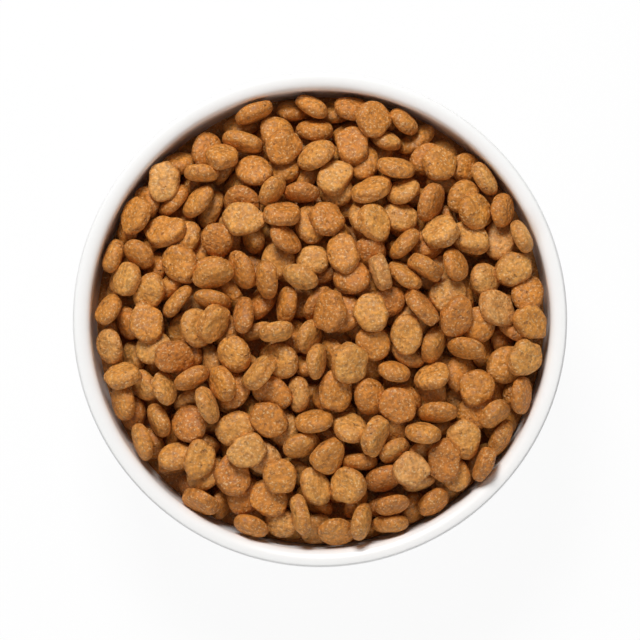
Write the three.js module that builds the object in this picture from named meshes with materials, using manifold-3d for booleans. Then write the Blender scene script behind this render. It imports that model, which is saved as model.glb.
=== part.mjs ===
// A white glazed bowl heaped with dry pet food.
// Millimetres, +Z up. The bowl stands on Z = 0, with its axis on Z.
import * as THREE from "three";
import { mergeVertices } from "three/addons/utils/BufferGeometryUtils.js";
import Module from "manifold-3d";

const wasm = await Module();
wasm.setup();

// Bowl, driving dimensions
const BOWL_DIAMETER = 150; // outside, over the lip
const BOWL_HEIGHT = 55; // table to the top of the lip
const WALL = 5.2; // thickness of the wall at the lip
const FLOOR = 5; // thickness of the floor at the middle
const FOOT_DIAMETER = 86; // outside of the foot ring
const FOOT_WIDTH = 4.5; // of the ring, with its bevels
const FOOT_LIFT = 4; // table to the underside of the floor
const FOOT_EDGE = 0.8; // bevel on both edges of the foot ring
const FULLNESS = 3; // 2 gives an elliptical bowl, more gives steeper sides
const LIP_RISE = 3; // where the walls turn into the lip, to its top
const LIP_CREST = 0.2; // share of the wall that lies outside the lip's highest line
const LIP_FULLNESS = 2.2; // 2 gives an elliptical lip, more gives a flatter one

// Kibble, driving dimensions
const KIBBLE_LENGTH = 11.8;
const KIBBLE_WIDTH = 10.4;
const KIBBLE_THICKNESS = 5;
const KIBBLE_SPREAD = 0.1; // share by which pieces differ in size
const KIBBLE_TAPER = 0.15; // how far the most drop-shaped piece narrows at one end
const KIBBLE_LOBES = 0.05; // how far the most uneven outline pulls in
const LOBE_COUNT = 3;
const KIBBLE_EDGE = 2.3; // 2 gives a sharp lens, more gives a fuller edge

// Heap, driving dimensions
const EDGE_BELOW_LIP = 2.8; // food level at the wall, under the lip
const CROWN = 9.5; // middle of the heap above its edge
const LEAN = 2; // rise of the heap at its high side, towards +X -Y
const STANDS_OUT = 0.8; // the most that a piece's middle rises above the heap's surface
const PACKED_DEPTH = 15; // how deep the settled layers go under the heap's surface
const LOOSE_COUNT = 58; // pieces that lie free on the rest
const SEED = 20;

// Clearances
const GLAZE_GAP = 0.3; // food bed to the bowl
const SEAT_GAP = 0.3; // a loose piece to the bed that it sits in
const WALL_GAP = 0.7; // a settled piece to the wall, measured level
const CONTACT_GAP = 0.08; // added to a piece when it settles
const BED_GRIP = 1.4; // least depth of a bedded piece in the bed
const SHOWS_FROM = 3.5; // a bedded piece shows if it rises this far out of the bed
const WORKED_DOWN = 1; // how far a loose piece works itself down into its seat

// Facets
const BOWL_SEGMENTS = 40;
const UNDERSIDE_STEPS = 2;
const WALL_STEPS = 8;
const LIP_STEPS = 8;
const CROWN_STEPS = 5;
const LOOSE_FACETS = [9, 4];
const BED_FACETS = [7, 4];

const bowlRadius = BOWL_DIAMETER / 2;
const insideRadius = bowlRadius - WALL;
const springHeight = BOWL_HEIGHT - LIP_RISE; // where the walls turn into the lip
const outsideDepth = springHeight - FOOT_LIFT;
const insideDepth = outsideDepth - FLOOR;

// Height of a bowl surface at radius r: a superellipse that is level on the axis and upright at its edge.
function wallHeight(r, radius, depth) {
  const share = Math.min(r / radius, 1);
  return springHeight - depth * (1 - share ** FULLNESS) ** (1 / FULLNESS);
}

// Points of the same superellipse from one radius to another, closer together where it is steep.
function wallPoints(fromRadius, toRadius, radius, depth, steps) {
  const angleAt = (r) => Math.asin(Math.min(r / radius, 1) ** (FULLNESS / 2));
  const first = angleAt(fromRadius);
  const last = angleAt(toRadius);
  return Array.from({ length: steps + 1 }, (_, i) => {
    const angle = first + ((last - first) * i) / steps;
    const r = radius * Math.sin(angle) ** (2 / FULLNESS);
    return new THREE.Vector2(r, wallHeight(r, radius, depth));
  });
}

// A closed profile (radius, height) turned about Z.
function turned(profile) {
  return new THREE.LatheGeometry(profile, BOWL_SEGMENTS).rotateX(Math.PI / 2);
}

function bowlGeometry() {
  const footOutside = FOOT_DIAMETER / 2;
  const footInside = footOutside - FOOT_WIDTH;
  const profile = [
    ...wallPoints(0, footInside, bowlRadius, outsideDepth, UNDERSIDE_STEPS),
    new THREE.Vector2(footInside, FOOT_EDGE),
    new THREE.Vector2(footInside + FOOT_EDGE, 0),
    new THREE.Vector2(footOutside - FOOT_EDGE, 0),
    new THREE.Vector2(footOutside, FOOT_EDGE),
    ...wallPoints(footOutside, bowlRadius, bowlRadius, outsideDepth, WALL_STEPS),
  ];
  profile.push(...lipPoints());
  profile.push(...wallPoints(insideRadius, 0, insideRadius, insideDepth, WALL_STEPS));
  return turned(profile);
}

// Points over the lip from outside to inside, between the walls: two quarters of a superellipse.
function lipPoints() {
  const outside = WALL * LIP_CREST;
  const inside = WALL - outside;
  const points = [];
  for (let i = 1; i < LIP_STEPS; i++) {
    const angle = (Math.PI * i) / LIP_STEPS;
    const across = Math.abs(Math.cos(angle)) ** (2 / LIP_FULLNESS);
    const up = Math.sin(angle) ** (2 / LIP_FULLNESS);
    const r = bowlRadius - outside + (i < LIP_STEPS / 2 ? outside * across : -inside * across);
    points.push(new THREE.Vector2(r, springHeight + LIP_RISE * up));
  }
  return points;
}

// Repeatable random numbers from 0 to 1.
function randomSource(seed) {
  let state = seed;
  return () => {
    state = (state + 0x6d2b79f5) | 0;
    let t = Math.imul(state ^ (state >>> 15), 1 | state);
    t = (t + Math.imul(t ^ (t >>> 7), 61 | t)) ^ t;
    return ((t ^ (t >>> 14)) >>> 0) / 4294967296;
  };
}

// One piece of kibble: half sizes, and how its outline narrows and pulls in.
function kibbleForm(random) {
  const spread = () => 1 + KIBBLE_SPREAD * (2 * random() - 1);
  return {
    half: [
      (KIBBLE_LENGTH / 2) * spread(),
      (KIBBLE_WIDTH / 2) * spread(),
      (KIBBLE_THICKNESS / 2) * spread(),
    ],
    taper: KIBBLE_TAPER * random() ** 2,
    taperAngle: 2 * Math.PI * random(),
    lobes: KIBBLE_LOBES * random(),
    lobeAngle: 2 * Math.PI * random(),
  };
}

// A sphere pressed into a pillow with a full edge and an uneven outline, larger all round by `grow`.
function kibbleGeometry(form, [around, over], grow = 0) {
  const geometry = new THREE.SphereGeometry(1, around, over).rotateX(Math.PI / 2);
  const points = geometry.getAttribute("position");
  const [a, b, c] = form.half.map((half) => half + grow);
  const shiftX = (form.taper / 2) * Math.cos(form.taperAngle); // keeps a drop-shaped piece centred
  const shiftY = (form.taper / 2) * Math.sin(form.taperAngle);
  for (let i = 0; i < points.count; i++) {
    const p = new THREE.Vector3().fromBufferAttribute(points, i);
    const angle = Math.atan2(p.y, p.x);
    const fuller =
      (Math.hypot(p.x, p.y) ** KIBBLE_EDGE + Math.abs(p.z) ** KIBBLE_EDGE) ** (-1 / KIBBLE_EDGE);
    const drop = ((1 + Math.cos(angle - form.taperAngle)) / 2) ** 2;
    const lobe = (1 + Math.cos(LOBE_COUNT * (angle - form.lobeAngle))) / 2;
    const wide = fuller * (1 - form.taper * drop - form.lobes * lobe);
    points.setXYZ(i, (p.x * wide + shiftX) * a, (p.y * wide + shiftY) * b, p.z * fuller * c);
  }
  return geometry;
}

// Level of the heap's surface, a paraboloid that leans towards +X -Y.
const leanSlope = LEAN / (Math.SQRT2 * insideRadius);

function crownHeight(rSquared) {
  return BOWL_HEIGHT - EDGE_BELOW_LIP + CROWN * (1 - rSquared / insideRadius ** 2);
}

function heapHeight(x, y) {
  return crownHeight(x * x + y * y) + leanSlope * (x - y);
}

// Settling. Pieces are poured one at a time on to a height map. Each lands lying, leaning or on edge. It
// is tried at spots all over the bowl, turned and moved about the lowest of them, and slides down to rest.
const STANCES = [
  { upTo: 0.22, tilt: [0, 0.45] }, // share of the pieces, and least and most tilt, radians
  { upTo: 0.5, tilt: [0.45, 1] },
  { upTo: 1, tilt: [1, 1.5] },
];
const CELL = 0.5;
const SPOT_TRIES = 200;
const SPOTS_KEPT = 4;
const OUTWARD = 0.33; // 0.5 spreads the spots evenly, less puts more of them near the wall
const TURN_TRIES = 12;
const NUDGES = [-6, -3, 0, 3, 6]; // cells
const SLIDE = [-1, 0, 1]; // cells
const SLIDES_MOST = 20;
const ROLLED_OFF_MOST = 60;
const FIGURES = 1000; // places are kept to a thousandth

const mapHalf = Math.ceil((bowlRadius + KIBBLE_LENGTH) / CELL);
const mapSide = 2 * mapHalf + 1;
const mapIndex = (column, row) => (row + mapHalf) * mapSide + column + mapHalf;
const pourRadius = insideRadius - KIBBLE_THICKNESS / 2 - WALL_GAP; // the furthest out for a piece's middle
const rounded = (value) => Math.floor(value * FIGURES + 0.5) / FIGURES;

// The map before anything is poured: the bowl's inside, filled to where the settled layers begin.
function emptyMap() {
  const map = new Float64Array(mapSide * mapSide);
  for (let row = -mapHalf; row <= mapHalf; row++)
    for (let column = -mapHalf; column <= mapHalf; column++) {
      const [x, y] = [column * CELL, row * CELL];
      const r = Math.sqrt(x * x + y * y) + WALL_GAP;
      const glaze = r < insideRadius ? wallHeight(r, insideRadius, insideDepth) : BOWL_HEIGHT;
      map[mapIndex(column, row)] = Math.max(glaze, heapHeight(x, y) - PACKED_DEPTH);
    }
  return map;
}

// The smallest ellipsoid round a piece, turned by spin, tilt and lean (about Z, Y and Z), as the
// six terms of its matrix.
function turnedEllipsoid(half, { spin, tilt, lean }) {
  const [c1, s1, c2, s2] = [Math.cos(lean), Math.sin(lean), Math.cos(tilt), Math.sin(tilt)];
  const [c3, s3] = [Math.cos(spin), Math.sin(spin)];
  const axes = [
    [c1 * c2 * c3 - s1 * s3, s1 * c2 * c3 + c1 * s3, -s2 * c3],
    [-c1 * c2 * s3 - s1 * c3, -s1 * c2 * s3 + c1 * c3, s2 * s3],
    [c1 * s2, s1 * s2, c2],
  ];
  const weights = outerHalf(half).map((h) => 1 / h ** 2);
  const term = (i, j) =>
    weights[0] * axes[0][i] * axes[0][j] +
    weights[1] * axes[1][i] * axes[1][j] +
    weights[2] * axes[2][i] * axes[2][j];
  return {
    xx: term(0, 0),
    xy: term(0, 1),
    yy: term(1, 1),
    xz: term(0, 2),
    yz: term(1, 2),
    zz: term(2, 2),
  };
}

// Half sizes of the ellipsoid that holds a piece and its share of the contact gap.
function outerHalf(half) {
  const fuller = 2 ** (1 / 2 - 1 / KIBBLE_EDGE);
  return half.map((h) => h * fuller + CONTACT_GAP);
}

// Each map cell under a turned piece, with the piece's lower and upper surface there.
function footprint(half, turn) {
  const e = turnedEllipsoid(half, turn);
  const reach = Math.ceil(Math.max(...outerHalf(half)) / CELL);
  const cells = [];
  for (let row = -reach; row <= reach; row++)
    for (let column = -reach; column <= reach; column++) {
      const [x, y] = [column * CELL, row * CELL];
      const q = e.xz * x + e.yz * y;
      const inside = q * q - e.zz * (e.xx * x * x + 2 * e.xy * x * y + e.yy * y * y - 1);
      if (inside <= 0) continue;
      const root = Math.sqrt(inside);
      cells.push({ column, row, lower: (-q - root) / e.zz, upper: (-q + root) / e.zz });
    }
  return { turn, cells };
}

// Where a piece comes to rest at a spot: its middle's height, and its level against the heap's surface.
function restAt(map, piece, column, row) {
  let z = -Infinity;
  for (const c of piece.cells) z = Math.max(z, map[mapIndex(column + c.column, row + c.row)] - c.lower);
  const level = rounded(z - heapHeight(column * CELL, row * CELL));
  return { piece, column, row, z: rounded(z), level };
}

// The lowest rest for a piece at spots moved by these steps each way, if it is lower than the best so far.
function lowestRest(map, piece, spots, steps, best) {
  for (const spot of spots)
    for (const up of steps)
      for (const along of steps) {
        const [column, row] = [spot.column + along, spot.row + up];
        if (Math.hypot(column, row) * CELL > pourRadius) continue;
        const rest = restAt(map, piece, column, row);
        if (rest.level < best.level) best = rest;
      }
  return best;
}

// The lowest rests for a piece among spots all over the bowl.
function lowestSpots(map, piece, random) {
  const spots = [];
  for (let i = 0; i < SPOT_TRIES; i++) {
    const r = (pourRadius * random() ** OUTWARD) / CELL;
    const angle = 2 * Math.PI * random();
    const column = Math.floor(r * Math.cos(angle) + 0.5);
    const row = Math.floor(r * Math.sin(angle) + 0.5);
    spots.push(restAt(map, piece, column, row));
  }
  return spots.sort((one, other) => one.level - other.level).slice(0, SPOTS_KEPT);
}

// A piece of this form turned in several ways, all of the stance in which it lands.
function turnedPieces(form, random) {
  const landed = random();
  const [least, most] = STANCES.find((stance) => landed <= stance.upTo).tilt;
  return Array.from({ length: TURN_TRIES }, () => {
    const spin = 2 * Math.PI * random();
    const tilt = least + (most - least) * random();
    const lean = 2 * Math.PI * random();
    return footprint(form.half, { spin, tilt, lean });
  });
}

function settledKibbles() {
  const random = randomSource(SEED);
  const map = emptyMap();
  const kibbles = [];
  let rolledOff = 0;
  // A piece that would stand out too far rolls off, and after enough of them the heap is full.
  while (rolledOff < ROLLED_OFF_MOST) {
    const form = kibbleForm(random);
    const pieces = turnedPieces(form, random);
    const spots = lowestSpots(map, pieces[0], random);
    let best = { level: Infinity };
    for (const piece of pieces) best = lowestRest(map, piece, spots, NUDGES, best);
    for (let i = 0; i < SLIDES_MOST; i++) best = lowestRest(map, best.piece, [best], SLIDE, best);
    if (best.level > STANDS_OUT) {
      rolledOff += 1;
      continue;
    }
    let [low, high] = [Infinity, -Infinity]; // the piece's reach down and up, from the heap's surface
    for (const c of best.piece.cells) {
      const [column, row] = [best.column + c.column, best.row + c.row];
      const [i, surface] = [mapIndex(column, row), heapHeight(column * CELL, row * CELL)];
      map[i] = Math.max(map[i], best.z + c.upper);
      low = Math.min(low, best.z + c.lower - surface);
      high = Math.max(high, best.z + c.upper - surface);
    }
    const place = [best.column * CELL, best.row * CELL, best.z];
    kibbles.push({ form, turn: best.piece.turn, place, low, high });
  }
  return kibbles;
}

// Geometry to a solid and back.
const WELD = 1e-4; // points this close are one

function solidOf(geometry) {
  const bare = geometry.clone();
  bare.deleteAttribute("normal");
  bare.deleteAttribute("uv");
  const merged = mergeVertices(bare, WELD);
  return new wasm.Manifold(
    new wasm.Mesh({
      numProp: 3,
      vertProperties: merged.getAttribute("position").array,
      triVerts: new Uint32Array(merged.index.array),
    }),
  );
}

function geometryOf(solid) {
  const mesh = solid.getMesh();
  const geometry = new THREE.BufferGeometry();
  geometry.setAttribute("position", new THREE.BufferAttribute(new Float32Array(mesh.vertProperties), 3));
  geometry.setIndex(new THREE.BufferAttribute(new Uint32Array(mesh.triVerts), 1));
  geometry.computeVertexNormals();
  return geometry;
}

function turnMatrix({ spin, tilt, lean }) {
  return new THREE.Matrix4()
    .makeRotationZ(lean)
    .multiply(new THREE.Matrix4().makeRotationY(tilt))
    .multiply(new THREE.Matrix4().makeRotationZ(spin));
}

function placedGeometry(kibble, facets, grow = 0) {
  const matrix = turnMatrix(kibble.turn).setPosition(...kibble.place);
  return kibbleGeometry(kibble.form, facets, grow).applyMatrix4(matrix);
}

// The food under the loose pieces: the bowl's filling below the heap's surface, joined with the
// pieces that stand out of it, with a seat for each loose piece.
function bedGeometry(bedded, loose, level) {
  const fillRadius = insideRadius - GLAZE_GAP;
  const fillDepth = insideDepth - GLAZE_GAP;
  const fillTop = crownHeight(0) + LEAN;
  const filling = [
    ...wallPoints(0, fillRadius, fillRadius, fillDepth, WALL_STEPS),
    new THREE.Vector2(fillRadius, fillTop),
    new THREE.Vector2(0, fillTop),
  ];
  const crown = [new THREE.Vector2(0, 0), new THREE.Vector2(insideRadius, 0)];
  for (let i = CROWN_STEPS; i >= 0; i--) {
    const r = (insideRadius * i) / CROWN_STEPS;
    crown.push(new THREE.Vector2(r, crownHeight(r * r) + level));
  }
  const lean = new THREE.Matrix4().makeShear(0, leanSlope, 0, -leanSlope, 0, 0);
  let bed = solidOf(turned(filling)).intersect(solidOf(turned(crown).applyMatrix4(lean)));
  for (const kibble of bedded) bed = bed.add(solidOf(placedGeometry(kibble, BED_FACETS)));
  for (const kibble of loose) bed = bed.subtract(solidOf(placedGeometry(kibble, LOOSE_FACETS, SEAT_GAP)));
  return geometryOf(bed);
}

const glazed = () => new THREE.MeshStandardMaterial({ color: 0xf7f6f4, roughness: 0.2, metalness: 0 });
const baked = () => new THREE.MeshStandardMaterial({ color: 0xb9783f, roughness: 0.8, metalness: 0 });

function named(name, geometry, material) {
  const mesh = new THREE.Mesh(geometry, material);
  mesh.name = name;
  return mesh;
}

// The loose pieces are those that reach least far down. The bed is just high enough to grip the
// lowest part of every other piece, and covers the pieces that would hardly show.
const kibbles = settledKibbles().sort((one, other) => other.low - one.low);
const loose = kibbles.slice(0, LOOSE_COUNT);
for (const kibble of loose) kibble.place[2] -= WORKED_DOWN;
const bedLevel = kibbles[LOOSE_COUNT].low + BED_GRIP;
const bedded = kibbles.slice(LOOSE_COUNT).filter((kibble) => kibble.high > bedLevel + SHOWS_FROM);

const bowlOfFood = new THREE.Group();
bowlOfFood.name = "bowl_of_pet_food";
bowlOfFood.add(named("bowl", bowlGeometry(), glazed()));
bowlOfFood.add(named("kibble_bed", bedGeometry(bedded, loose, bedLevel), baked()));
loose.forEach((kibble, i) => {
  const number = String(i + 1).padStart(2, "0");
  const mesh = named("kibble_" + number, kibbleGeometry(kibble.form, LOOSE_FACETS), baked());
  mesh.applyMatrix4(turnMatrix(kibble.turn).setPosition(...kibble.place));
  bowlOfFood.add(mesh);
});

export default bowlOfFood;
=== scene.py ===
import math
import bpy
import numpy as np
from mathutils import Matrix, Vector


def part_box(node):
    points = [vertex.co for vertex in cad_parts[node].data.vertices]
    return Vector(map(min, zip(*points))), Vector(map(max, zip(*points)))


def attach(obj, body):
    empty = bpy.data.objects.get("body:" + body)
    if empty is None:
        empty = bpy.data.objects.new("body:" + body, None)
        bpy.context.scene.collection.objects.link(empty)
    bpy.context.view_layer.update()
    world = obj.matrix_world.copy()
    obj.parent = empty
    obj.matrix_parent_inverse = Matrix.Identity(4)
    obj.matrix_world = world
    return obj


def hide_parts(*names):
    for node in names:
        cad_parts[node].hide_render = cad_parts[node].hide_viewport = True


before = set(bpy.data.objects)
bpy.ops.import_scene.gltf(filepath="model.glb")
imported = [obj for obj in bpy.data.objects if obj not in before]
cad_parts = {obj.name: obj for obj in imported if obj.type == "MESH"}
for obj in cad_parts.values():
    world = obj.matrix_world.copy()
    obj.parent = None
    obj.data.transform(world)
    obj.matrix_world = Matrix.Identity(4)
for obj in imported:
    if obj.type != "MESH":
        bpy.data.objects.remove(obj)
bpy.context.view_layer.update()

# The bowl. Thrown in white stoneware, with a steep wall, a rounded lip and a turned foot ring. A satin white
# glaze covers it all but the foot, which is wiped bare so that it doesn't stick in the kiln.
MM = 0.001  # the object's sizes are in millimetres, and Blender's in metres
BOWL_RADIUS = 75.0
BOWL_HEIGHT = 55.0
BOWL_FLOOR = 5.0
WALL = 5.2
FULLNESS = 3
LIP_RISE = 3
LIP_CREST = 0.2  # where the lip is highest, as a share of the wall from outside
LIP_FULLNESS = 2.2
FOOT_RADIUS = 43.0
FOOT_WIDTH = 4.5
FOOT_LIFT = 4.0
FOOT_EDGE = 0.8
BOWL_STEPS_ROUND = 180
UNDERSIDE_STEPS = 10
FOOT_EDGE_STEPS = 5
OUTSIDE_STEPS = 30
LIP_STEPS = 21
INSIDE_STEPS = 36

inside_radius = BOWL_RADIUS - WALL
spring_height = BOWL_HEIGHT - LIP_RISE
outside_depth = spring_height - FOOT_LIFT
inside_depth = outside_depth - BOWL_FLOOR


def wall_height(r, radius, depth):
    """Height of a bowl surface at radius r: a superellipse, level on the axis and upright at its edge."""
    share = np.minimum(r / radius, 1.0)
    return spring_height - depth * (1 - share ** FULLNESS) ** (1 / FULLNESS)


def wall_stretch(from_radius, to_radius, radius, depth, steps):
    """Radii and heights along that superellipse, evenly spaced in its angle."""
    ends = np.arcsin(np.minimum(np.array([from_radius, to_radius]) / radius, 1.0) ** (FULLNESS / 2))
    r = radius * np.sin(np.linspace(ends[0], ends[1], steps)) ** (2 / FULLNESS)
    return np.column_stack([r, wall_height(r, radius, depth)])


def round_edge(centre, radius, from_turn, to_turn, steps):
    """Radii and heights on an arc about a centre, between two angles given in turns."""
    angle = 2 * np.pi * np.linspace(from_turn, to_turn, steps)
    return np.column_stack([centre[0] + radius * np.cos(angle), centre[1] + radius * np.sin(angle)])


def lip_stretch(steps):
    """Radii and heights over the lip, from outside to inside: two quarters of a superellipse."""
    angle = np.linspace(0, np.pi, steps)
    across = np.sign(np.cos(angle)) * np.abs(np.cos(angle)) ** (2 / LIP_FULLNESS)
    width = WALL * np.where(across > 0, LIP_CREST, 1 - LIP_CREST)
    up = np.abs(np.sin(angle)) ** (2 / LIP_FULLNESS)
    crest_radius = BOWL_RADIUS - WALL * LIP_CREST
    return np.column_stack([crest_radius + width * across, spring_height + LIP_RISE * up])


def capped_faces(ring_count, steps):
    """Quads between neighbouring rings, and triangles from the first and last ring to their poles."""
    ring, step = np.meshgrid(np.arange(ring_count - 1), np.arange(steps), indexing="ij")
    here, after = ring * steps + step, ring * steps + (step + 1) % steps
    quads = np.stack([here, after, after + steps, here + steps], axis=-1).reshape(-1, 4)
    first, last = np.arange(steps), (ring_count - 1) * steps + np.arange(steps)
    low_pole = ring_count * steps
    lower = np.column_stack([np.roll(first, -1), first, np.full(steps, low_pole)])
    upper = np.column_stack([last, np.roll(last, -1), np.full(steps, low_pole + 1)])
    return quads, np.vstack([lower, upper])


def closed_lathe(profile, steps):
    """Vertices and faces of a profile turned about Z: a ring for each inner point, a pole for each end."""
    angle = 2 * np.pi * np.arange(steps) / steps
    r, z = profile[1:-1, 0, None], profile[1:-1, 1, None]
    rings = np.stack([r * np.cos(angle), r * np.sin(angle), z + 0 * angle], axis=-1).reshape(-1, 3)
    poles = np.array([[0, 0, profile[0, 1]], [0, 0, profile[-1, 1]]])
    return np.vstack([rings, poles]), capped_faces(len(profile) - 2, steps)


def new_piece(name, vertices, quads, triangles):
    """A smooth-shaded mesh object at the origin, from vertices in millimetres."""
    mesh = bpy.data.meshes.new(name)
    mesh.from_pydata((vertices * MM).tolist(), [], quads.tolist() + triangles.tolist())
    mesh.shade_smooth()
    piece = bpy.data.objects.new(name, mesh)
    bpy.context.scene.collection.objects.link(piece)
    return piece


foot_inside = FOOT_RADIUS - FOOT_WIDTH
inner_edge = (foot_inside + FOOT_EDGE, FOOT_EDGE)
outer_edge = (FOOT_RADIUS - FOOT_EDGE, FOOT_EDGE)
bowl_profile = np.vstack([
    wall_stretch(0, foot_inside, BOWL_RADIUS, outside_depth, UNDERSIDE_STEPS),
    round_edge(inner_edge, FOOT_EDGE, 0.5, 0.75, FOOT_EDGE_STEPS),
    round_edge(outer_edge, FOOT_EDGE, 0.75, 1.0, FOOT_EDGE_STEPS),
    wall_stretch(FOOT_RADIUS, BOWL_RADIUS, BOWL_RADIUS, outside_depth, OUTSIDE_STEPS)[:-1],
    lip_stretch(LIP_STEPS),
    wall_stretch(inside_radius, 0, inside_radius, inside_depth, INSIDE_STEPS)[1:],
])
bowl_vertices, (bowl_quads, bowl_triangles) = closed_lathe(bowl_profile, BOWL_STEPS_ROUND)
bowl = new_piece("glazed_bowl", bowl_vertices, bowl_quads, bowl_triangles)

GLAZE_COLOUR = (0.935, 0.933, 0.926, 1)
GLAZE_THIN_COLOUR = (0.915, 0.91, 0.895, 1)
BISCUIT_COLOUR = (0.66, 0.60, 0.52, 1)
GLAZE_ROUGHNESS = 0.32
BISCUIT_ROUGHNESS = 0.85
GLAZE_STARTS = 0.9  # height over the ground at which the glaze starts
GLAZE_COVERS = 1.2
GLAZE_EDGE_WOBBLE = 1.2
GLAZE_CLOUDS = 38.0  # patterns are in lumps to a metre
GLAZE_EDGE_WAVES = 160.0
GLAZE_RIPPLES = 90.0
RIPPLE_STRENGTH = 0.08
RIPPLE_DEPTH = 0.6
NODE_SPACING = 220


def new_material(name):
    """An empty node material with a Principled shader on its output."""
    material = bpy.data.materials.new(name)
    material.use_nodes = True
    tree = material.node_tree
    return material, tree, tree.nodes["Principled BSDF"]


def plug(tree, socket, value):
    """A value on a socket, or a link to it where the value is a socket itself."""
    if isinstance(value, bpy.types.NodeSocket):
        tree.links.new(value, socket)
    else:
        socket.default_value = value


def add_node(tree, kind, **inputs):
    """A shader node with values on its named inputs. Nodes stand in a row, in the order they are made."""
    node = tree.nodes.new("ShaderNode" + kind)
    node.location = (NODE_SPACING * len(tree.nodes), 0)
    for name, value in inputs.items():
        plug(tree, node.inputs[name], value)
    return node


def noise(tree, where, lumps, detail):
    """Smooth random values between 0 and 1, with so many lumps to a metre, and finer ones on them."""
    return add_node(tree, "TexNoise", Vector=where, Scale=lumps, Detail=detail).outputs["Fac"]


def worked(tree, operation, one, other):
    """A sum, product or the like of two numbers."""
    node = add_node(tree, "Math")
    node.operation = operation
    plug(tree, node.inputs[0], one)
    plug(tree, node.inputs[1], other)
    return node.outputs[0]


def ranged(tree, value, from_low, from_high, to_low, to_high):
    """A value stretched from one range to another, and held at its ends."""
    node = add_node(tree, "MapRange", Value=value)
    node.inputs["From Min"].default_value = from_low
    node.inputs["From Max"].default_value = from_high
    node.inputs["To Min"].default_value = to_low
    node.inputs["To Max"].default_value = to_high
    return node.outputs[0]


def mixed(tree, factor, one, other, blend="MIX"):
    """A colour mix: one where the factor is 0, the other where it is 1."""
    node = add_node(tree, "Mix")
    node.data_type = "RGBA"
    node.blend_type = blend
    for place, value in ((0, factor), (6, one), (7, other)):
        plug(tree, node.inputs[place], value)
    return node.outputs[2]


glaze, tree, shader = new_material("white_glaze")
where = add_node(tree, "TexCoord").outputs["Object"]
tint = mixed(tree, noise(tree, where, GLAZE_CLOUDS, 3.0), GLAZE_COLOUR, GLAZE_THIN_COLOUR)
height = add_node(tree, "SeparateXYZ", Vector=where).outputs["Z"]
wobble = worked(tree, "MULTIPLY", noise(tree, where, GLAZE_EDGE_WAVES, 2.0), -GLAZE_EDGE_WOBBLE * MM)
above_wobble = worked(tree, "ADD", wobble, height)
bare = ranged(tree, above_wobble, GLAZE_STARTS * MM, GLAZE_COVERS * MM, 1.0, 0.0)
plug(tree, shader.inputs["Base Color"], mixed(tree, bare, tint, BISCUIT_COLOUR))
plug(tree, shader.inputs["Roughness"], ranged(tree, bare, 0.0, 1.0, GLAZE_ROUGHNESS, BISCUIT_ROUGHNESS))
ripples = noise(tree, where, GLAZE_RIPPLES, 2.0)
bump = add_node(tree, "Bump", Height=ripples, Strength=RIPPLE_STRENGTH, Distance=RIPPLE_DEPTH * MM)
plug(tree, shader.inputs["Normal"], bump.outputs[0])
bowl.data.materials.append(glaze)
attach(bowl, "root")
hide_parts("bowl")

# The loose kibble. Cereal meal pressed through a die, puffed and baked into small flat pillows, round, oval
# or drop-shaped, with a sandy face and a smoother edge, darker partly in its own colour and partly by painted
# shade. No two have quite the same form or colour.
# It was tipped into the bowl, and the top pieces lie on the others by their weight alone.
KIBBLE_LENGTH = 11.8
KIBBLE_WIDTH = 10.4
KIBBLE_THICKNESS = 5
KIBBLE_SPREAD = 0.1
KIBBLE_TAPER = 0.15
KIBBLE_LOBES = 0.05
LOBE_COUNT = 3
KIBBLE_EDGE = 2.3

# The pouring is worked out as it was for the frame, so each piece lies as it does there.
EDGE_BELOW_LIP = 2.8
CROWN = 9.5
LEAN = 2
STANDS_OUT = 0.8  # a piece that ends higher than this over the heap's surface rolls off
PACKED_DEPTH = 15
SEED = 20
COUNTER_STEP = 0x6D2B79F5
WALL_GAP = 0.7
CONTACT_GAP = 0.08
WORKED_DOWN = 1  # how far loose pieces work down once they lie
STANCES = ((0.22, 0, 0.45), (0.5, 0.45, 1), (1, 1, 1.5))  # share of pieces up to here, least and most tilt
CELL = 0.5
SPOT_TRIES = 200
SPOTS_KEPT = 4
OUTWARD = 0.33
TURN_TRIES = 12
NUDGES = (-6, -3, 0, 3, 6)
SLIDE = (-1, 0, 1)
SLIDES_MOST = 20
ROLLED_OFF_MOST = 60
FORM_DRAWS = 8
DRAWS_A_PIECE = FORM_DRAWS + 2 * SPOT_TRIES + 3 * TURN_TRIES
MOST_PIECES = 800


def random_numbers(seed, count):
    """Repeatable numbers from 0 to 1: a counter that steps by a fixed amount, with its bits well mixed."""
    state = np.uint32(seed) + np.arange(1, count + 1, dtype=np.uint32) * np.uint32(COUNTER_STEP)
    t = (state ^ (state >> np.uint32(15))) * (state | np.uint32(1))
    t = (t + (t ^ (t >> np.uint32(7))) * (t | np.uint32(61))) ^ t
    return (t ^ (t >> np.uint32(14))) / 2 ** 32


def heap_height(x, y):
    """Level of the heap's surface: a paraboloid that leans towards +X -Y."""
    crown = BOWL_HEIGHT - EDGE_BELOW_LIP + CROWN * (1 - (x * x + y * y) / inside_radius ** 2)
    return crown + LEAN / (math.sqrt(2) * inside_radius) * (x - y)


def turn_axes(spin, tilt, lean):
    """The three axes of a piece turned by spin, tilt and lean, about Z, then Y, then Z again."""
    c1, s1, c2, s2 = math.cos(lean), math.sin(lean), math.cos(tilt), math.sin(tilt)
    c3, s3 = math.cos(spin), math.sin(spin)
    return np.array([
        [c1 * c2 * c3 - s1 * s3, s1 * c2 * c3 + c1 * s3, -s2 * c3],
        [-c1 * c2 * s3 - s1 * c3, -s1 * c2 * s3 + c1 * c3, s2 * s3],
        [c1 * s2, s1 * s2, c2],
    ])


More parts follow.
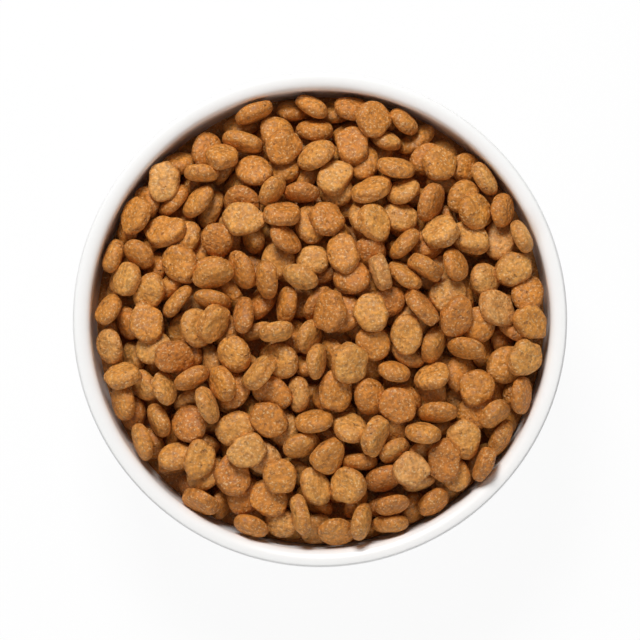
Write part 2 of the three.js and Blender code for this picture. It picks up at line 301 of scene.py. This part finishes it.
def footprint(half, turn):
    """Map cells under a turned piece, with the lower and upper surface there of the ellipsoid round it:
    the two roots of the ellipsoid's equation in z."""
    outer = half * 2 ** (1 / 2 - 1 / KIBBLE_EDGE) + CONTACT_GAP
    axes, weights = turn_axes(*turn), 1 / outer ** 2

    def term(i, j):
        """One term of the ellipsoid's equation."""
        return sum(weights[k] * axes[k][i] * axes[k][j] for k in range(3))

    xx, xy, yy, xz, yz, zz = term(0, 0), term(0, 1), term(1, 1), term(0, 2), term(1, 2), term(2, 2)
    reach = math.ceil(outer.max() / CELL)
    row, column = np.mgrid[-reach:reach + 1, -reach:reach + 1].reshape(2, -1)
    x, y = column * CELL, row * CELL
    q = xz * x + yz * y
    inside = q * q - zz * (xx * x * x + 2 * xy * x * y + yy * y * y - 1)
    under = inside > 0
    q, root = q[under], np.sqrt(inside[under])
    return column[under], row[under], (-q - root) / zz, (-q + root) / zz


def rounded(value):
    """A height to a thousandth of a millimetre, so that ties fall the same way as in the frame."""
    return np.floor(value * 1000 + 0.5) / 1000


def poured_kibbles():
    """Each piece lands lying, leaning or on edge. It is tried at spots all over the bowl, turned and moved
    about the lowest of them, and slides down to rest on a height map of all that lies there already."""
    half_side = math.ceil((BOWL_RADIUS + KIBBLE_LENGTH) / CELL)
    row, column = np.mgrid[-half_side:half_side + 1, -half_side:half_side + 1]
    x, y = column * CELL, row * CELL
    surface = heap_height(x, y)
    r = np.sqrt(x * x + y * y) + WALL_GAP
    glazed = np.where(r < inside_radius, wall_height(r, inside_radius, inside_depth), BOWL_HEIGHT)
    level_map = np.maximum(glazed, surface - PACKED_DEPTH)
    pour_radius = inside_radius - KIBBLE_THICKNESS / 2 - WALL_GAP

    def rest(cells, columns, rows):
        """Height of a piece's middle, and its level against the heap's surface, at each spot."""
        under = level_map[rows[:, None] + cells[1] + half_side, columns[:, None] + cells[0] + half_side]
        z = (under - cells[2]).max(axis=1)
        return rounded(z), rounded(z - surface[rows + half_side, columns + half_side])

    def lowest(cells, columns, rows, steps):
        """The lowest rest, as its level, column, row and height, with each spot moved by steps each way."""
        up, along = [n.ravel() for n in np.meshgrid(steps, steps, indexing="ij")]
        columns, rows = (columns[:, None] + along).ravel(), (rows[:, None] + up).ravel()
        in_bowl = np.hypot(columns, rows) * CELL <= pour_radius
        columns, rows = columns[in_bowl], rows[in_bowl]
        heights, levels = rest(cells, columns, rows)
        i = levels.argmin()
        return levels[i], columns[i], rows[i], heights[i]

    draws = random_numbers(SEED, MOST_PIECES * DRAWS_A_PIECE).reshape(MOST_PIECES, DRAWS_A_PIECE)
    kibbles, rolled_off = [], 0
    for draw in draws:
        half = np.array([KIBBLE_LENGTH, KIBBLE_WIDTH, KIBBLE_THICKNESS]) / 2
        half = half * (1 + KIBBLE_SPREAD * (2 * draw[:3] - 1))
        form = (KIBBLE_TAPER * draw[3] ** 2, 2 * np.pi * draw[4], KIBBLE_LOBES * draw[5], 2 * np.pi * draw[6])
        least, most = next(tilts for up_to, *tilts in STANCES if draw[7] <= up_to)
        turn_draws, spot_draws = np.split(draw[FORM_DRAWS:], [3 * TURN_TRIES])
        turn_range = np.array([2 * np.pi, most - least, 2 * np.pi])
        turns = np.array([0, least, 0]) + turn_range * turn_draws.reshape(-1, 3)
        pieces = [footprint(half, turn) for turn in turns]
        r, angle = pour_radius * spot_draws[::2] ** OUTWARD / CELL, 2 * np.pi * spot_draws[1::2]
        columns = np.floor(r * np.cos(angle) + 0.5).astype(int)
        rows = np.floor(r * np.sin(angle) + 0.5).astype(int)
        kept = np.argsort(rest(pieces[0], columns, rows)[1], kind="stable")[:SPOTS_KEPT]
        rests = [lowest(cells, columns[kept], rows[kept], NUDGES) for cells in pieces]
        best = min(range(TURN_TRIES), key=lambda i: rests[i][0])
        cells, (level, column, row, z) = pieces[best], rests[best]
        for _ in range(SLIDES_MOST):
            lower = lowest(cells, np.array([column]), np.array([row]), SLIDE)
            if lower[0] >= level:
                break
            level, column, row, z = lower
        if level > STANDS_OUT:
            rolled_off += 1
            if rolled_off == ROLLED_OFF_MOST:
                break
            continue
        spot = cells[1] + row + half_side, cells[0] + column + half_side
        level_map[spot] = np.maximum(level_map[spot], z + cells[3])
        kibbles.append({"half": half, "form": form, "axes": turn_axes(*turns[best]),
                        "place": np.array([column * CELL, row * CELL, z])})
    return kibbles


kibbles = poured_kibbles()

# The shape of a piece is the frame's, with a fuller edge, and lumps that are shares of its size.
EDGE_FULLNESS = (3.2, 5.2)
OUTLINE_WAVES = np.arange(2, 7)
OUTLINE_LUMP = 0.054
OUTLINE_LUMP_MOST = 1.5  # the largest draw that an outline wave takes
BROAD_LUMP = 0.02
BROAD_WAVES = (4, 1.5, 4)  # how many waves, and the least and most radians that they turn through in a radius
FACE_LUMP = 0.05
FACE_WAVES = (4, 2, 6)
FINE_LUMP = 0.008
FINE_WAVES = (7, 6, 13)


def waves(direction, count, low, high, shape_random):
    """Sum of sine waves across each piece, with directions, lengths and starts of its own."""
    heading = shape_random.normal(size=(len(direction), count, 3))
    heading /= np.linalg.norm(heading, axis=2, keepdims=True)
    heading *= shape_random.uniform(low, high, (len(direction), count, 1))
    start = shape_random.uniform(0, 2 * np.pi, (len(direction), 1, count))
    return np.sin(direction @ heading.transpose(0, 2, 1) + start).sum(axis=2)


def kibble_surfaces(pieces, rings, steps, grown, shape_random):
    """Vertices and faces of pieces, and how near each vertex is to its piece's edge. A piece is a sphere
    in latitude and longitude, filled out to a superellipsoid, drawn in at one end and at three lobes, and
    made lumpy."""
    half = np.array([k["half"] for k in pieces])[:, None, :] * grown
    taper, taper_angle, lobes, lobe_angle = np.array([k["form"] for k in pieces]).T[:, :, None]
    latitude = np.pi * (np.arange(1, rings + 1) / (rings + 1) - 0.5)
    angle = 2 * np.pi * np.arange(steps) / steps
    up, around = [g.ravel() for g in np.meshgrid(latitude, angle, indexing="ij")]
    up = np.append(up, [-np.pi / 2, np.pi / 2])
    around = np.append(around, [0, 0])
    level, rise = np.cos(up).clip(0), np.sin(up)
    direction = np.column_stack([level * np.cos(around), level * np.sin(around), rise])
    full = shape_random.uniform(*EDGE_FULLNESS, (len(pieces), 1))
    fuller = (level ** full + np.abs(rise) ** full) ** (-1 / full)
    drop = ((1 + np.cos(around - taper_angle)) / 2) ** 2
    lobe = (1 + np.cos(LOBE_COUNT * (around - lobe_angle))) / 2
    wave_starts = shape_random.uniform(0, 2 * np.pi, (len(pieces), 1, len(OUTLINE_WAVES)))
    wave_sizes = shape_random.normal(size=(len(pieces), 1, len(OUTLINE_WAVES)))
    wave_sizes = wave_sizes.clip(-OUTLINE_LUMP_MOST, OUTLINE_LUMP_MOST)
    wave_sizes *= OUTLINE_LUMP / OUTLINE_WAVES ** 0.5
    outline = (wave_sizes * np.cos(around[:, None] * OUTLINE_WAVES + wave_starts)).sum(axis=2)
    every = np.broadcast_to(direction, (len(pieces), *direction.shape))
    lump = 1 + BROAD_LUMP * waves(every, *BROAD_WAVES, shape_random)
    lump = lump + FINE_LUMP * waves(every, *FINE_WAVES, shape_random)
    wide = fuller * (1 - taper * drop - lobes * lobe + outline) * lump
    thick = fuller * (lump + FACE_LUMP * waves(every, *FACE_WAVES, shape_random))
    local = np.stack([
        direction[:, 0] * wide + taper / 2 * np.cos(taper_angle),
        direction[:, 1] * wide + taper / 2 * np.sin(taper_angle),
        direction[:, 2] * thick,
    ], axis=-1) * half
    axes = np.array([k["axes"] for k in pieces])
    place = np.array([k["place"] for k in pieces])[:, None, :]
    vertices = (local @ axes + place).reshape(-1, 3)
    quads, triangles = capped_faces(rings, steps)
    first = (np.arange(len(pieces)) * len(direction))[:, None, None]
    edge = np.broadcast_to(level, (len(pieces), len(up)))
    return vertices, (quads + first).reshape(-1, 4), (triangles + first).reshape(-1, 3), edge.ravel()


def set_attribute(piece, name, values):
    """A number for each vertex, for the material to read."""
    attribute = piece.data.attributes.new(name, "FLOAT", "POINT")
    attribute.data.foreach_set("value", np.ascontiguousarray(values, dtype=np.float32))


# The crust has a tone for each piece, baked blotches, a darker edge that is partly painted shade, sandy grain,
# painted highlight flecks, and pits darkened with painted shade.
# A range gives two levels of a pattern, and the amounts that they stand for.
CRUST_TONES = [
    (0.00, (0.46, 0.148, 0.018, 1)),
    (0.18, (0.53, 0.186, 0.020, 1)),
    (0.55, (0.59, 0.231, 0.031, 1)),
    (0.88, (0.64, 0.295, 0.061, 1)),
    (1.00, (0.62, 0.291, 0.078, 1)),
]
BAKED_COLOUR = (0.45, 0.163, 0.021, 1)
BAKED_LUMPS = 330.0
BAKED_RANGE = (0.38, 0.66, 0.0, 0.6)
BAKED_RELIEF = 1.2
# The edge colour is partly the crust's own darker edge and partly painted shade, as on shaded sides between
# pieces.
EDGE_AND_SHADE_COLOUR = (0.42, 0.146, 0.019, 1)
EDGE_AND_SHADE_RANGE = (0.72, 1.0, 0.0, 0.65)
GRAIN_LUMPS = 850.0
GRAIN_RANGE = (0.3, 0.7, 0.62, 1.36)
GRAIN_ROUGHNESS = (0.3, 0.7, 0.5, 0.74)
GRAIN_RELIEF = 0.7
# Painted highlights: light specks like glints of oil, drawn into the crust's colour.
PAINTED_GLINT_COLOUR = (0.87, 0.62, 0.31, 1)
PAINTED_GLINT_LUMPS = 1500.0
PAINTED_GLINT_RANGE = (0.58, 0.72, 0.0, 0.5)
# The pits are darkened with painted shade; their depth is a bump.
PIT_SHADE_COLOUR = (0.20, 0.065, 0.015, 1)
PIT_LUMPS = 520.0
PIT_RANGE = (0.27, 0.34, 0.5, 0.0)
PIT_RELIEF = -0.8
RELIEF_STRENGTH = 0.9
RELIEF_DEPTH = 0.8
CRUST_SHINE = 0.5

crust, tree, shader = new_material("baked_crust")
where = add_node(tree, "TexCoord").outputs["Object"]
piece_tone = add_node(tree, "Attribute")
piece_tone.attribute_name = "tone"
near_edge = add_node(tree, "Attribute")
near_edge.attribute_name = "edge"
ramp = add_node(tree, "ValToRGB", Fac=piece_tone.outputs["Fac"])
while len(ramp.color_ramp.elements) < len(CRUST_TONES):
    ramp.color_ramp.elements.new(0.5)
for element, (position, colour) in zip(ramp.color_ramp.elements, CRUST_TONES):
    element.position = position
    element.color = colour
baked = noise(tree, where, BAKED_LUMPS, 2.0)
grain = noise(tree, where, GRAIN_LUMPS, 3.0)
pits = ranged(tree, noise(tree, where, PIT_LUMPS, 2.0), *PIT_RANGE)
painted_glints = ranged(tree, noise(tree, where, PAINTED_GLINT_LUMPS, 1.0), *PAINTED_GLINT_RANGE)
shade = mixed(tree, ranged(tree, baked, *BAKED_RANGE), ramp.outputs["Color"], BAKED_COLOUR)
# Darker towards each piece's edge: partly its own colour, partly painted shade.
shade = mixed(tree, ranged(tree, near_edge.outputs["Fac"], *EDGE_AND_SHADE_RANGE), shade, EDGE_AND_SHADE_COLOUR)
shade = mixed(tree, 1.0, shade, ranged(tree, grain, *GRAIN_RANGE), "MULTIPLY")
# Painted highlight specks.
shade = mixed(tree, painted_glints, shade, PAINTED_GLINT_COLOUR)
# Painted shade in the pits.
shade = mixed(tree, pits, shade, PIT_SHADE_COLOUR)
plug(tree, shader.inputs["Base Color"], shade)
plug(tree, shader.inputs["Roughness"], ranged(tree, grain, *GRAIN_ROUGHNESS))
shader.inputs["Specular IOR Level"].default_value = CRUST_SHINE
grain_relief = worked(tree, "MULTIPLY", grain, GRAIN_RELIEF)
pit_relief = worked(tree, "MULTIPLY", pits, PIT_RELIEF)
baked_relief = worked(tree, "MULTIPLY", baked, BAKED_RELIEF)
relief = worked(tree, "ADD", worked(tree, "ADD", grain_relief, pit_relief), baked_relief)
bump = add_node(tree, "Bump", Height=relief, Strength=RELIEF_STRENGTH, Distance=RELIEF_DEPTH * MM)
plug(tree, shader.inputs["Normal"], bump.outputs[0])

# Each loose piece of the frame is found again among the poured ones, by its middle before it worked down.
LOOSE_RINGS = 15
LOOSE_STEPS = 32
LOOSE_GROWN = np.array([1.03, 1.03, 0.97])
FOUND_WITHIN = 1
SHAPE_SEED = 7
shape_random = np.random.default_rng(SHAPE_SEED)
tones = shape_random.random(len(kibbles))
places = np.array([k["place"] for k in kibbles])
loose_of = {}
for node in sorted(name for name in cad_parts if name.startswith("kibble_") and name != "kibble_bed"):
    low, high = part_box(node)
    middle = np.array((low + high) / 2) / MM + (0, 0, WORKED_DOWN)
    away = np.linalg.norm(places - middle, axis=1)
    assert away.min() < FOUND_WITHIN, f"{node} lies {away.min():.1f} mm from every poured piece"
    loose_of[node] = int(away.argmin())
for node, i in loose_of.items():
    kibble = dict(kibbles[i], place=kibbles[i]["place"] - (0, 0, WORKED_DOWN))
    vertices, quads, triangles, edge = kibble_surfaces(
        [kibble], LOOSE_RINGS, LOOSE_STEPS, LOOSE_GROWN, shape_random)
    piece = new_piece("loose_" + node, vertices, quads, triangles)
    set_attribute(piece, "edge", edge)
    set_attribute(piece, "tone", np.full(len(edge), tones[i]))
    piece.data.materials.append(crust)
    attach(piece, "root")
    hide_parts(node)

# The bedded kibble. The other pieces, of the same baked meal, under and between the loose ones, and the food
# below them. That fills the bowl to its floor, lies there by its weight, and shows only at the bottom of gaps,
# where it is drawn in the crust's darkest tone and edge colour as painted shade.
BED_RINGS = 5
BED_STEPS = 11
BED_GROWN = np.array([1.09, 1.09, 1.03])
DEEP_BELOW = 13.5
DEEP_GAP = 0.4
DEEP_LUMP = 0.3
DEEP_WAVES = (9, 4, 8)
DEEP_STEPS_ROUND = 96
DEEP_WALL_STEPS = 12
DEEP_TOP_STEPS = 30
bedded = [i for i in range(len(kibbles)) if i not in loose_of.values()]
vertices, quads, triangles, edge = kibble_surfaces(
    [kibbles[i] for i in bedded], BED_RINGS, BED_STEPS, BED_GROWN, shape_random)
deep_radius = inside_radius - DEEP_GAP
deep_top_radii = np.linspace(deep_radius, 0, DEEP_TOP_STEPS)[1:]
deep_profile = np.vstack([
    wall_stretch(0, deep_radius, deep_radius, inside_depth - DEEP_GAP, DEEP_WALL_STEPS),
    np.column_stack([deep_top_radii, np.full(len(deep_top_radii), BOWL_HEIGHT + CROWN)]),
])
deep_vertices, (deep_quads, deep_triangles) = closed_lathe(deep_profile, DEEP_STEPS_ROUND)
deep_lumps = DEEP_LUMP * waves(deep_vertices[None] / KIBBLE_LENGTH, *DEEP_WAVES, shape_random)[0]
deep_top = heap_height(deep_vertices[:, 0], deep_vertices[:, 1]) - DEEP_BELOW + deep_lumps
deep_vertices[:, 2] = np.minimum(deep_vertices[:, 2], deep_top)
deep_first = len(vertices)
bed = new_piece("bedded_kibble", np.vstack([vertices, deep_vertices]),
                np.vstack([quads, deep_quads + deep_first]),
                np.vstack([triangles, deep_triangles + deep_first]))
bedded_tones = np.repeat(tones[bedded], deep_first // len(bedded))
# The deep food takes the full edge colour and the darkest tone: painted shade at the bottom of gaps.
set_attribute(bed, "edge", np.append(edge, np.ones(len(deep_vertices))))
set_attribute(bed, "tone", np.append(bedded_tones, np.zeros(len(deep_vertices))))
smooth = bed.modifiers.new("smooth", "SUBSURF")
smooth.levels = smooth.render_levels = 1
bed.data.materials.append(crust)
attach(bed, "root")
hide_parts("kibble_bed")

# The floor, light and camera, in metres. The floor is white to the camera and in gloss, and keeps some of the
# bowl's shadow. One soft lamp stands high at the far side and two weak ones low at the near side. The camera
# looks straight down from three quarters of a metre above the lip.
FLOOR_SIZE = 3.0
FLOOR_GLOW = 0.93
FLOOR_COLOUR = (0.95, 0.95, 0.95, 1)
FLOOR_BOUNCE_COLOUR = (0.6, 0.6, 0.6, 1)
FLOOR_ROUGHNESS = 0.9
WHITE = (1, 1, 1, 1)


def seen_or_mirrored(tree):
    """1 where a surface is seen by the camera, or in gloss or glass, and 0 where it only gives light."""
    path = add_node(tree, "LightPath").outputs
    seen = worked(tree, "MAXIMUM", path["Is Camera Ray"], path["Is Glossy Ray"])
    return worked(tree, "MAXIMUM", seen, path["Is Transmission Ray"])


bpy.ops.mesh.primitive_plane_add(size=FLOOR_SIZE)
floor = bpy.context.object
floor.name = "floor"
paper, tree, shader = new_material("white_paper")
in_view = seen_or_mirrored(tree)
plug(tree, shader.inputs["Base Color"], mixed(tree, in_view, FLOOR_BOUNCE_COLOUR, FLOOR_COLOUR))
shader.inputs["Roughness"].default_value = FLOOR_ROUGHNESS
glow = add_node(tree, "Emission", Color=WHITE, Strength=1.0)
cover = add_node(tree, "MixShader")
plug(tree, cover.inputs[0], worked(tree, "MULTIPLY", in_view, FLOOR_GLOW))
plug(tree, cover.inputs[1], shader.outputs[0])
plug(tree, cover.inputs[2], glow.outputs[0])
plug(tree, tree.nodes["Material Output"].inputs["Surface"], cover.outputs[0])
floor.data.materials.append(paper)

LAMPS = [  # name, place, size and watts
    ("far_softbox", (-0.14, 0.62, 0.74), 0.32, 8.4),
    ("left_softbox", (-0.45, -0.60, 0.40), 0.6, 1.5),
    ("right_softbox", (0.45, -0.60, 0.40), 0.6, 1.5),
]
lit_place = Vector((0, 0, BOWL_HEIGHT * MM))
for name, place, size, power in LAMPS:
    lamp_data = bpy.data.lights.new(name, "AREA")
    lamp_data.size = size
    lamp_data.energy = power
    lamp = bpy.data.objects.new(name, lamp_data)
    lamp.location = place
    lamp.rotation_euler = (lit_place - lamp.location).to_track_quat("-Z", "Y").to_euler()
    bpy.context.scene.collection.objects.link(lamp)

ROOM_LIGHT = 0.14
world = bpy.data.worlds.new("room")
world.use_nodes = True
bpy.context.scene.world = world
tree = world.node_tree
room = tree.nodes["Background"]
room.inputs["Color"].default_value = WHITE
plug(tree, room.inputs["Strength"], ranged(tree, seen_or_mirrored(tree), 0.0, 1.0, ROOM_LIGHT, 1.0))

IMAGE_SIZE = 640
LIP_RADIUS_PIXELS = 247
CAMERA_ABOVE_LIP = 0.75
camera_data = bpy.data.cameras.new("camera")
half_frame = BOWL_RADIUS * MM * (IMAGE_SIZE / 2) / LIP_RADIUS_PIXELS
camera_data.lens = camera_data.sensor_width / 2 * CAMERA_ABOVE_LIP / half_frame
camera = bpy.data.objects.new("camera", camera_data)
camera.location = (0, 0, spring_height * MM + CAMERA_ABOVE_LIP)
bpy.context.scene.collection.objects.link(camera)
bpy.context.scene.camera = camera
bpy.context.scene.view_settings.view_transform = "Standard"
